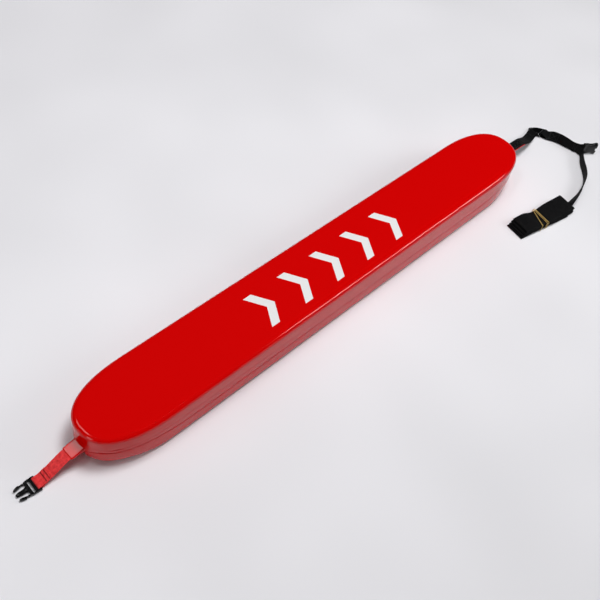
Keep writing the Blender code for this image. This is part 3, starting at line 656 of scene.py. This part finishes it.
def tube_rings():
    """Rings from the underside to the top: lower rim, wall with its grooves, upper rim."""
    rim_steps, per_metre = 10, 1000
    outer = tube_outline(0.0)
    drawn_in = tube_outline(1 / per_metre)
    grown = [EDGE_RADIUS + TIP_RIM_GROWTH * smooth((abs(x) - TIP_RIM_START) / TIP_RIM_LENGTH)
             for x, _ in outer]

    def ring(insets, heights):
        return [(x + (nx - x) * inset * per_metre, y + (ny - y) * inset * per_metre, z)
                for (x, y), (nx, ny), inset, z in zip(outer, drawn_in, insets, heights)]

    rings = [ring([r + CAP_INSET for r in grown], [0.0] * len(grown))]
    for i in range(rim_steps, -1, -1):
        t = math.pi / 2 * i / rim_steps
        rings.append(ring([r * (1 - math.cos(t)) for r in grown], [r * (1 - math.sin(t)) for r in grown]))
    low = SEAM_HEIGHT - GROOVE_HALF
    for share in (0.25, 0.5, 0.75):
        rings.append(ring([0.0] * len(grown), [r + (low - r) * share for r in grown]))
    rows = []
    for groove, depth in ((SEAM_HEIGHT, SEAM_DEPTH), (UPPER_GROOVE, UPPER_GROOVE_DEPTH)):
        rows += [(groove + offset, depth * share) for offset, share in GROOVE_PROFILE]
        rows += [(groove + offset, 0.0) for offset in ROWS_ABOVE_GROOVE]
    for i in range(rim_steps + 1):
        t = math.pi / 2 * i / rim_steps
        rows.append((TUBE_HEIGHT - EDGE_RADIUS * (1 - math.sin(t)), EDGE_RADIUS * (1 - math.cos(t))))
    rows.append((TUBE_HEIGHT, EDGE_RADIUS + CAP_INSET))
    for z, inset in sorted(rows):
        rings.append(ring([inset + crease_depth(x, y, z) for x, y in outer], [z] * len(grown)))
    return rings


def make_tube():
    """The foam tube in its vinyl skin, with the two tongues that the webbing leaves by."""
    bm = bmesh.new()
    loft_into(bm, [[(x + tongue_root(x, y, z), y, z + seam_lift(x, y, z)) for x, y, z in ring]
                   for ring in tube_rings()])
    for side in (-1, 1):
        loft_into(bm, [[(side * (TUBE_LENGTH / 2 + reach), a, SEAM_HEIGHT + lift + b)
                        for a, b in superellipse(half_width, half_height, fullness, TONGUE_SIDES)]
                       for reach, half_width, half_height, lift, fullness in TONGUE_SECTIONS])
    tube = new_object("foam_tube_seen", mesh_from(bm, "foam_tube_seen"), VINYL, sharp=55)
    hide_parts("vinyl_skin")
    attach(tube, "tube")


make_tube()


# White chevrons, a plain print on the top

def make_marks():
    """Five chevrons that point along the tube, as thin films of ink on its flat top."""
    bm = bmesh.new()
    half_height, point, stroke = 0.043, 0.026, 0.021
    first, pitch, middle = -0.219, 0.0933, -0.0085
    sunk, film = 0.0002, 0.00008
    for i in range(5):
        x = first + pitch * i
        outline = ((x, middle - half_height), (x + stroke, middle - half_height),
                   (x + stroke + point, middle), (x + stroke, middle + half_height),
                   (x, middle + half_height), (x + point, middle))
        low = [bm.verts.new((a, b, TUBE_HEIGHT - sunk)) for a, b in outline]
        high = [bm.verts.new((a, b, TUBE_HEIGHT + film)) for a, b in outline]
        for j in range(len(outline)):
            k = (j + 1) % len(outline)
            bm.faces.new((low[j], low[k], high[k], high[j]))
        for ring in (low, high):
            bm.faces.new((ring[0], ring[1], ring[2], ring[5]))
            bm.faces.new((ring[5], ring[2], ring[3], ring[4]))
    marks = new_object("chevron_print", mesh_from(bm, "chevron_print"), MARK, sharp=30)
    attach(marks, "tube")


make_marks()


# Red tail webbing

def on_tail(along, across, up):
    """A place given along, across and above the tail's line on the floor."""
    turn = math.radians(TAIL_TURN)
    start = -TONGUE_TIP - WEB / 2 - TAIL_GAP
    return Vector((start - along * math.cos(turn) + across * math.sin(turn),
                   -along * math.sin(turn) - across * math.cos(turn), up))


def make_tail():
    """The tail, folded back round the plug's bar and sewn with two double rows."""
    steps, joined_steps, folded_end = 48, 16, 29
    handles = ((0, SEAM_HEIGHT), (0.022, SEAM_HEIGHT - 0.0075), (TAIL_REACH - 0.020, PLUG_BAR_Z + 0.0058),
               (TAIL_REACH, PLUG_BAR_Z))
    centre_line = [on_tail(along, 0, up) for along, up in bezier(handles, steps)]
    wide = on_tail(0, -1, 0) - on_tail(0, 0, 0)
    across = [-wide] * len(centre_line)
    eye = BAR_RADIUS + EYE_CLEARANCE + WEB / 2

    def opening(s, total):
        return eye_opening(total - s, eye, EYE_TAPER)

    lower, upper, along, normals = ply_paths(centre_line, across, opening)
    for i in range(joined_steps):
        t = smooth(i / joined_steps)
        lower[i] = centre_line[i] * (1 - t) + lower[i] * t
    turn = eye_turn(centre_line[-1], along[-1], normals[-1], eye)
    hidden = [Vector((-TONGUE_TIP + reach, 0, SEAM_HEIGHT)) for reach in (0.012, 0.006, 0.002)]
    path = hidden + lower + turn + list(reversed(upper[folded_end:]))
    tail = ribbon("red_tail_seen", path, [-wide] * len(path), WEB_WIDTH, WEB, RED_WEB)
    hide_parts("tail_webbing")
    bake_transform(tail)
    sewn = Strap(upper, across, WEB / 2 + THREAD_LIFT)
    bm = bmesh.new()
    for back in (0.0225, 0.0155):
        place = sewn.distances[-1] - back
        sew(bm, sewn, cross_rows((place, place - 0.0008), half=0.0112), pitch=0.0024, radius=0.00045)
    # These stitches carry painted shade: their dark red stands in for the shade in the dents they pull into
    # the webbing.
    thread = thread_object("tail_stitching_seen", bm, RED_THREAD_PAINTED_SHADE)
    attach(thread, "tail")


make_tail()


# Black anchor strap with the red tab sewn between its plies

def make_anchor():
    """The doubled strap from the far tongue to the ring, round the ring's near bar."""
    bar = RING_CORNER + Vector((0, ANCHOR_ON_BAR, 0))
    start = TONGUE_TIP + ANCHOR_START
    knots = [Vector((start + x, y, z)) for x, y, z in ANCHOR_ROUTE]
    centre_line = catmull_rom(knots + [Vector((bar.x - 0.010, bar.y - 0.0010, 0.0052)), bar], 8)
    across = [SIDEWAYS] * len(centre_line)
    eye = RING_ROD + EYE_CLEARANCE + WEB / 2
    tab_half = WEB + PLY_GAP

    def opening(s, total):
        past_tab = max(0.0, s - TAB_LENGTH - TAB_MARGIN)
        return max(eye_opening(past_tab, tab_half, TAB_TAPER), eye_opening(total - s, eye, EYE_TAPER))

    lower, upper, along, normals = ply_paths(centre_line, across, opening)
    turn = eye_turn(bar, along[-1], normals[-1], eye)
    path = lower + turn + list(reversed(upper))
    strap = ribbon("anchor_strap_seen", path, [SIDEWAYS] * len(path), WEB_WIDTH, WEB, BLACK_WEB)
    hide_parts("anchor_strap")
    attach(strap, "tube")
    hidden, shift = 0.015, Vector((0, -0.0011, 0))
    tab_end = start + TAB_MARGIN + TAB_LENGTH
    tab_line = [Vector((TONGUE_TIP - hidden, 0, SEAM_HEIGHT))] + [p for p in centre_line if p.x < tab_end]
    tab = ribbon("red_tab_seen", [p + shift for p in tab_line], [SIDEWAYS] * len(tab_line), WEB_WIDTH, WEB,
                 RED_WEB)
    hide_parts("core_webbing")
    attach(tab, "tube")
    top = Strap(upper, across, WEB / 2 + THREAD_LIFT)
    under = Strap(lower, across, -WEB / 2 - THREAD_LIFT)
    total = top.distances[-1]
    rows = box_stitch(0.006, 0.030) + box_stitch(0.034, 0.058) + cross_rows((total - 0.018, total - 0.021))
    bm = bmesh.new()
    sew(bm, top, rows)
    sew(bm, under, rows, flip=-1)
    thread = thread_object("anchor_stitching_seen", bm, BLACK_THREAD)
    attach(thread, "tube")


make_anchor()


# Socket strap and towline

def make_socket_strap():
    """The doubled strap from the ring to the socket's bar, closed in a loop."""
    rail = RING_CORNER + Vector((SOCKET_ON_BAR, 0, EYE_SLACK / 2))
    knots = [(rail, 0)] + [(Vector(p), lean) for p, lean in SOCKET_STRAP_ROUTE] + [(SOCKET_BAR, 90)]
    centre_line, leans, across = leaning_curve(knots, 8)
    ring_eye = RING_ROD + EYE_CLEARANCE + WEB / 2 + EYE_SLACK / 2
    ring_taper = 0.020
    bar_eye = BAR_RADIUS + EYE_CLEARANCE + WEB / 2

    def opening(s, total):
        return max(eye_opening(s, ring_eye, ring_taper), eye_opening(total - s, bar_eye, EYE_TAPER))

    first, second, along, normals = ply_paths(centre_line, across, opening)
    far_turn = eye_turn(SOCKET_BAR, along[-1], normals[-1], bar_eye)
    near_turn = eye_turn(rail, -along[0], -normals[0], ring_eye)
    path = first + far_turn + list(reversed(second)) + near_turn
    wide = across + [across[-1]] * len(far_turn) + list(reversed(across)) + [across[0]] * len(near_turn)
    strap = ribbon("socket_strap_seen", path, wide, WEB_WIDTH, WEB, BLACK_WEB, closed=True)
    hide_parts("socket_strap")
    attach(strap, "tube")
    rows = box_stitch(0.022, 0.044) + cross_rows((0.020,))
    bm = bmesh.new()
    sew(bm, Strap(second, across, WEB / 2 + THREAD_LIFT), rows)
    sew(bm, Strap(first, across, -WEB / 2 - THREAD_LIFT), rows, flip=-1)
    thread = thread_object("socket_strap_stitching_seen", bm, BLACK_THREAD)
    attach(thread, "tube")
    return centre_line, normals, leans


def make_towline(strap_line, strap_normals, strap_leans):
    """The towline, sewn on outside the socket strap, over the floor to the folded strap."""
    offset = WEB + PLY_GAP / 2 + WEB / 2 + TOWLINE_GAP
    knots = []
    for share in TOWLINE_SEWN_AT:
        i = round(share * (len(strap_line) - 1))
        knots.append((strap_line[i] + strap_normals[i] * offset, strap_leans[i]))
    knots += [(Vector(p), lean) for p, lean in TOWLINE_ROUTE]
    path, _, across = leaning_curve(knots, 6)
    towline = ribbon("towline", path, across, WEB_WIDTH, WEB, BLACK_WEB)
    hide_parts("towline")
    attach(towline, "tube")
    length = sum((b - a).length for a, b in zip(path, path[1:]))
    rows = cross_rows((0.002, 0.006, 0.010)) + cross_rows((length - 0.003, length - 0.007))
    bm = bmesh.new()
    sew(bm, Strap(path, across, WEB / 2 + THREAD_LIFT), rows)
    thread = thread_object("towline_stitching_seen", bm, BLACK_THREAD)
    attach(thread, "tube")


make_towline(*make_socket_strap())


# Folded shoulder strap and its elastic band

def bundle_to_world(a, b, z):
    """A place given along, across and above the bundle's own line."""
    return Vector((BUNDLE_CENTRE[0] + a * math.cos(BUNDLE_HEADING) - b * math.sin(BUNDLE_HEADING),
                   BUNDLE_CENTRE[1] + a * math.sin(BUNDLE_HEADING) + b * math.cos(BUNDLE_HEADING), z))


def table_value(table, place):
    """Straight-line reading of a table of (place, value) pairs."""
    if place <= table[0][0]:
        return table[0][1]
    for (p0, v0), (p1, v1) in zip(table, table[1:]):
        if place <= p1:
            return v0 + (v1 - v0) * (place - p0) / (p1 - p0)
    return table[-1][1]


def eased_pitch(a):
    """The fold pitch with the corners of its table rounded off."""
    reach = 0.006
    return sum(table_value(FOLD_PITCHES, a + reach * k / 3) for k in range(-3, 4)) / 7


def band_lift(a):
    """Height at which the bundle is held off the floor round its band."""
    middle, half_length, slope_length = BAND_PLACE - 0.006, 0.020, 0.045
    return BAND_LIFT * (1 - smooth((abs(a - middle) - half_length) / slope_length))


def layer_height(layer, a):
    return BUNDLE_FLOOR + SHOULDER_WEB / 2 + layer * eased_pitch(a) + band_lift(a)


def band_squeeze(a):
    """Share of the strap's width left where the elastic band draws its edges in."""
    squeeze, reach = 0.10, 0.022
    return 1 - squeeze * math.exp(-((a - BAND_PLACE) / reach) ** 2)


def folded_path():
    """Centre line of the shoulder strap: (along, sideways, up)."""
    layer_steps, fold_steps = 64, 12
    bow_depth, bow_reach = -0.0030, 0.035
    wave_height, wave_shift, wave_rate = 0.00016, 2.3, 75
    end_rate, fold_growth, fold_length = 5, 1.08, 1.6
    points = []
    start, side = TAB_START
    for layer in range(FOLD_LAYERS):
        going = -1 if layer % 2 == 0 else 1
        end, next_side = (NEAR_FOLDS if going < 0 else FAR_FOLDS)[layer // 2]
        for i in range(layer_steps + 1):
            share = i / layer_steps
            a = start + (end - start) * share
            bow = bow_depth * math.exp(-((a - BAND_PLACE) / bow_reach) ** 2)
            ends = smooth(share * end_rate) * smooth((1 - share) * end_rate)
            wave = wave_height * ends * math.sin(layer * wave_shift + a * wave_rate)
            points.append((a, side + (next_side - side) * share + bow, layer_height(layer, a) + wave))
        if layer < FOLD_LAYERS - 1:
            low, high = layer_height(layer, end), layer_height(layer + 1, end)
            radius = (high - low) / 2 * fold_growth
            for i in range(1, fold_steps):
                t = math.pi * i / fold_steps
                points.append((end + going * radius * math.sin(t) * fold_length, next_side,
                               (low + high) / 2 - radius * math.cos(t)))
        start, side = end, next_side
    return points


def make_bundle():
    """The shoulder strap, one length folded to and fro in eight layers."""
    local = folded_path()
    path = [bundle_to_world(*p) for p in local]
    wide = Vector((-math.sin(BUNDLE_HEADING), math.cos(BUNDLE_HEADING), 0))
    shares = [table_value(TAB_ROUNDING, a) * band_squeeze(a) for a, _, _ in local]
    strap = ribbon("shoulder_strap_seen", path, [wide] * len(path), SHOULDER_WIDTH, SHOULDER_WEB, BLACK_WEB,
                   shares=shares)
    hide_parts("shoulder_strap")
    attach(strap, "tube")
    return local


def make_elastic(local):
    """Thin rubber band, wound three times round the folded strap."""
    under_from, under_to = -0.021, 0.013
    clearance, bite, slack = 0.0001, 0.0004, 0.0002
    corner_steps, rod_sides = 6, 10
    under_band = [p for p in local if under_from <= p[0] - BAND_PLACE <= under_to]
    gap = BAND_ROD + clearance
    far = max(b + SHOULDER_WIDTH / 2 * band_squeeze(a) for a, b, _ in under_band) - bite
    near = min(b - SHOULDER_WIDTH / 2 * band_squeeze(a) for a, b, _ in under_band) + bite
    high = max(z for _, _, z in under_band) + SHOULDER_WEB / 2
    deep = BUNDLE_FLOOR + BAND_ROD + gap
    raised = BUNDLE_FLOOR + BAND_LIFT + gap - BAND_ROD - slack
    path = []
    for turn, (far_place, near_place) in enumerate(BAND_CROSSINGS):
        far_low = raised if turn == 0 else deep
        near_low = raised if turn == len(BAND_CROSSINGS) - 1 else deep
        corners = ((far, far_low, far_place), (far, high, far_place), (near, high, near_place),
                   (near, near_low, near_place))
        for index, (b, z, a) in enumerate(corners):
            first = -math.pi / 2 + math.pi / 2 * index
            for i in range(corner_steps + 1):
                t = first + math.pi / 2 * i / corner_steps
                path.append(bundle_to_world(BAND_PLACE + a, b + gap * math.cos(t), z + gap * math.sin(t)))
    axis = Vector((math.cos(BUNDLE_HEADING), math.sin(BUNDLE_HEADING), 0))
    angles = [2 * math.pi * i / rod_sides for i in range(rod_sides)]
    rings = []
    for centre, along in zip(path, tangents(path, True)):
        out = squared(axis, along)
        up = along.cross(out)
        rings.append([centre + out * math.cos(t) * BAND_ROD + up * math.sin(t) * BAND_ROD for t in angles])
    bm = bmesh.new()
    loft_into(bm, rings, closed=True)
    band = new_object("elastic_band_seen", mesh_from(bm, "elastic"), RUBBER)
    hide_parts("elastic_band")
    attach(band, "tube")


make_elastic(make_bundle())


# Plastic pieces, the CAD shapes with their edges softened

def softened(node, body, width):
    """A plastic node's own shape with rounded edges of the given width."""
    join_distance, flat_angle, sharp_angle, edge_angle = 1e-6, 1.0, 38, 28
    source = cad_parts[node]
    bm = bmesh.new()
    bm.from_mesh(source.data)
    bm.transform(source.matrix_world)
    bmesh.ops.remove_doubles(bm, verts=bm.verts, dist=join_distance)
    bmesh.ops.dissolve_limit(bm, angle_limit=math.radians(flat_angle), verts=bm.verts, edges=bm.edges)
    piece = new_object(node + "_seen", mesh_from(bm, node), ACETAL, sharp=sharp_angle)
    bevel = piece.modifiers.new("soft edges", "BEVEL")
    bevel.width = width
    bevel.segments = 3
    bevel.limit_method = "ANGLE"
    bevel.angle_limit = math.radians(edge_angle)
    bevel.harden_normals = True
    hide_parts(node)
    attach(piece, body)


softened("buckle_plug", "plug", 0.00035)
softened("release_prong_left", "prong_left", 0.00020)
softened("release_prong_right", "prong_right", 0.00020)
softened("strap_ring", "ring", 0.00030)
softened("buckle_socket", "socket", 0.00030)


# Stage and light

def paper_material():
    """Pale studio paper with painted light: its tone grows lighter towards +Y and towards -X, standing in for
    uneven light on the floor, under a random mottle. It fades into the background far from the tube.
    """
    # The slope paints light across the paper, lighter towards +Y and -X; the mottle is random tone.
    painted_light_slope, base_tone = (-0.10, 0.28, 0), 0.61
    mottle_scale, mottle_detail, mottle_strength = 2.4, 1, 0.55
    fade_start, fade_end = 1.7, 3.1
    mat, tree, shader = new_material("paper")
    set_inputs(shader, {"Roughness": 0.75, "Specular IOR Level": 0.2})
    place = tree.nodes.new("ShaderNodeTexCoord")
    slope = tree.nodes.new("ShaderNodeVectorMath")
    slope.operation = "DOT_PRODUCT"
    slope.inputs[1].default_value = painted_light_slope
    tree.links.new(place.outputs["Object"], slope.inputs[0])
    mottle = noise_texture(tree, place.outputs["Object"], mottle_scale, mottle_detail)
    patches = maths(tree, "MULTIPLY", maths(tree, "SUBTRACT", mottle, 0.5), mottle_strength)
    share = maths(tree, "ADD", maths(tree, "ADD", slope.outputs["Value"], base_tone), patches)
    colour = colour_mix(tree, share, (0.600, 0.597, 0.616), (0.905, 0.897, 0.930))
    tree.links.new(colour, shader.inputs["Base Color"])
    reach = tree.nodes.new("ShaderNodeVectorMath")
    reach.operation = "LENGTH"
    tree.links.new(place.outputs["Object"], reach.inputs[0])
    tree.links.new(fall_off(tree, reach.outputs["Value"], fade_start, fade_end), shader.inputs["Alpha"])
    return mat


def make_stage():
    """A square of paper on the floor."""
    half = 3.7
    bm = bmesh.new()
    corners = ((-half, -half, 0), (half, -half, 0), (half, half, 0), (-half, half, 0))
    bm.faces.new([bm.verts.new(p) for p in corners])
    floor = new_object("floor", mesh_from(bm, "floor"), paper_material())


def make_world():
    """Pale backdrop for the camera. Gloss shows it near the horizon only, as the ceiling is dark."""
    gloss_start, gloss_end = 0.02, 0.12
    world = bpy.data.worlds.new("world")
    bpy.context.scene.world = world
    world.use_nodes = True
    tree = world.node_tree
    rays = tree.nodes.new("ShaderNodeLightPath")
    direction = tree.nodes.new("ShaderNodeTexCoord")
    parts = tree.nodes.new("ShaderNodeSeparateXYZ")
    tree.links.new(direction.outputs["Generated"], parts.inputs[0])
    low = fall_off(tree, parts.outputs[2], gloss_start, gloss_end)
    in_gloss = maths(tree, "MULTIPLY", rays.outputs["Is Glossy Ray"], low)
    seen = maths(tree, "MAXIMUM", rays.outputs["Is Camera Ray"], rays.outputs["Is Transmission Ray"])
    colour = colour_mix(tree, maths(tree, "MAXIMUM", seen, in_gloss), (0.0, 0.0, 0.0), (0.78, 0.78, 0.80))
    tree.links.new(colour, tree.nodes["Background"].inputs["Color"])


def area_light(name, place, aim, size, power, glossy=True, diffuse=True, colour=(1, 1, 1)):
    """A lamp whose longer side lies as near as can be to the tube's line.

    It can be left out of gloss, or be seen in gloss only.
    """
    data = bpy.data.lights.new(name, "AREA")
    data.shape = "RECTANGLE"
    data.size, data.size_y = size
    data.energy = power
    data.color = colour
    light = bpy.data.objects.new(name, data)
    bpy.context.scene.collection.objects.link(light)
    back = (Vector(place) - Vector(aim)).normalized()
    long_side = (Vector((1, 0, 0)) - back * back.x).normalized()
    turned = Matrix((long_side, back.cross(long_side), back)).transposed().to_4x4()
    turned.translation = place
    light.matrix_world = turned
    light.visible_glossy = glossy
    light.visible_diffuse = diffuse
    light.visible_camera = False


make_stage()
make_world()
area_light("overhead", (0.6, -0.25, 4.0), (0.6, -0.25, 0), (1.2, 1.2), 111, glossy=False)
area_light("near overhead", (-1.0, 0.35, 2.6), (-0.65, 0.0, 0.04), (0.4, 0.4), 8, glossy=False)
area_light("ceiling", (0.0, 0.0, 4.6), (0, 0, 0), (8.0, 8.0), 62, glossy=False, colour=(1.0, 0.99, 1.01))
area_light("side", (1.9, -1.5, 1.3), (0.7, -0.1, 0.05), (1.2, 0.8), 17, glossy=False)
area_light("strip", (2.05, -1.35, 1.80), (1.85, 0.0, 0.09), (2.1, 0.30), 50, diffuse=False)
area_light("left", (-1.1, 0.92, 2.0), (-0.65, 0.0, 0.04), (0.7, 0.7), 9, diffuse=False)
area_light("low", (-2.4, -0.10, 0.75), (-0.63, 0.0, 0.05), (0.6, 0.6), 7)
scene = bpy.context.scene
scene.view_settings.view_transform = "Standard"
